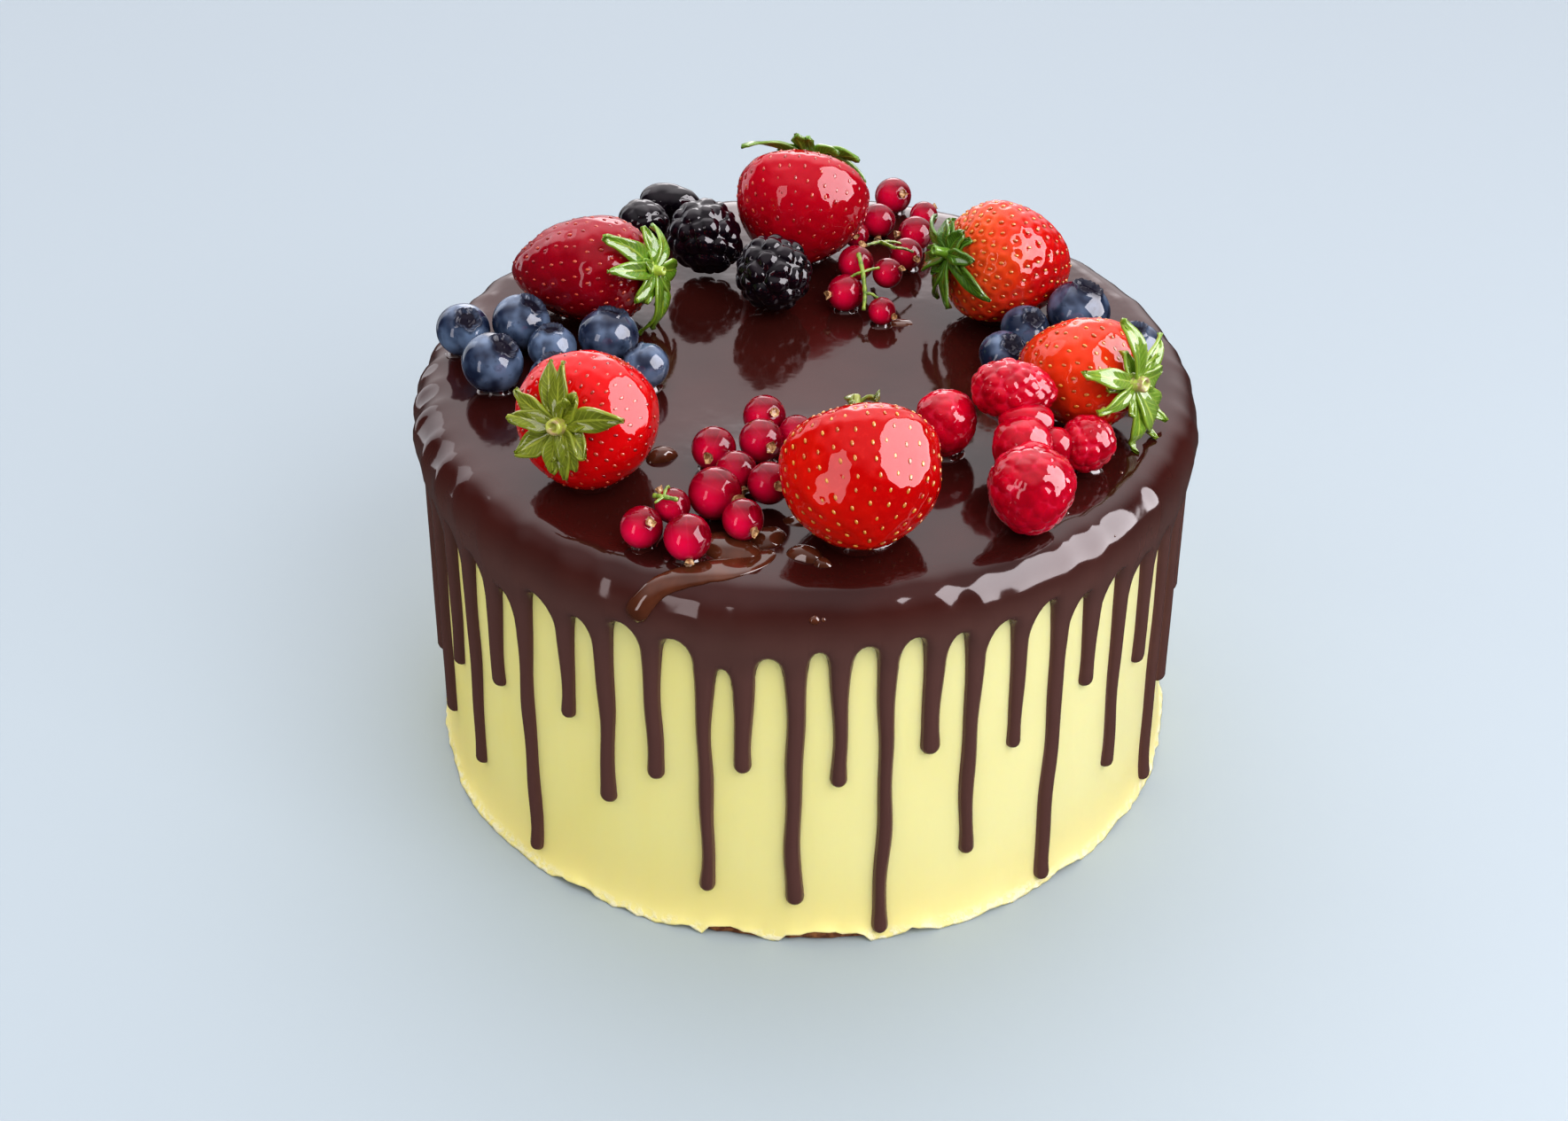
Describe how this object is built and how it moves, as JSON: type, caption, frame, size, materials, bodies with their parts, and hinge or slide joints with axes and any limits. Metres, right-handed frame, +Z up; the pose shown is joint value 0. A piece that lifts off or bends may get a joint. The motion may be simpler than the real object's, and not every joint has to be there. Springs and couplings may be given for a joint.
{
  "type": "white forest cake",
  "caption": "Round cake coated in pale ivory white chocolate, with dark ganache poured over the top, long drips down the side and a ring of glazed mixed berries",
  "frame": {"origin": "middle of the cake's flat base, on the surface that it stands on", "axes": "+Z up, -Y towards the front of the cake as pictured, +X to the right seen from the front"},
  "size_m": [0.1806, 0.1811, 0.1271],
  "materials": {
    "coating": "smooth white chocolate coating, pale yellow ivory",
    "ganache": "mirror-glossy dark chocolate ganache",
    "strawberry": "glossy red under clear gel, golden seeds",
    "leaf": "glazed green leaf, darker in the folds",
    "blueberry": "navy with a grey-blue bloom under clear gel",
    "bramble": "glossy blue-black drupelets",
    "raspberry": "glossy crimson drupelets under clear gel",
    "currant": "translucent crimson skin, dry beige flower tip",
    "twig": "thin yellow-green stalk"
  },
  "bodies": {
    "root": {"cake": "coating", "ganache": "ganache", "strawberry_left_back": "strawberry", "calyx_left_back": "leaf", "strawberry_left_front": "strawberry", "calyx_left_front": "leaf", "strawberry_front": "strawberry", "calyx_front": "leaf", "strawberry_back": "strawberry", "calyx_back": "leaf", "strawberry_right": "strawberry", "calyx_right": "leaf", "strawberry_right_back": "strawberry", "calyx_right_back": "leaf", "blueberry_01": "blueberry", "blueberry_02": "blueberry", "blueberry_03": "blueberry", "blueberry_04": "blueberry", "blueberry_05": "blueberry", "blueberry_06": "blueberry", "blueberry_07": "blueberry", "blueberry_08": "blueberry", "blueberry_09": "blueberry", "blueberry_10": "blueberry", "blueberry_11": "blueberry", "bramble_01": "bramble", "bramble_02": "bramble", "bramble_03": "bramble", "bramble_04": "bramble", "raspberry_01": "raspberry", "raspberry_02": "raspberry", "raspberry_03": "raspberry", "raspberry_04": "raspberry", "raspberry_05": "raspberry", "redcurrant_01": "currant", "redcurrant_02": "currant", "redcurrant_03": "currant", "redcurrant_04": "currant", "redcurrant_05": "currant", "redcurrant_06": "currant", "redcurrant_07": "currant", "redcurrant_08": "currant", "redcurrant_09": "currant", "redcurrant_10": "currant", "redcurrant_11": "currant", "redcurrant_12": "currant", "redcurrant_13": "currant", "redcurrant_14": "currant", "redcurrant_15": "currant", "redcurrant_16": "currant", "redcurrant_17": "currant", "redcurrant_18": "currant", "redcurrant_19": "currant", "redcurrant_20": "currant", "redcurrant_21": "currant", "currant_stalk_back": "twig", "currant_twig_back": "twig", "currant_stalk_front": "twig"}
  },
  "joints": []
}
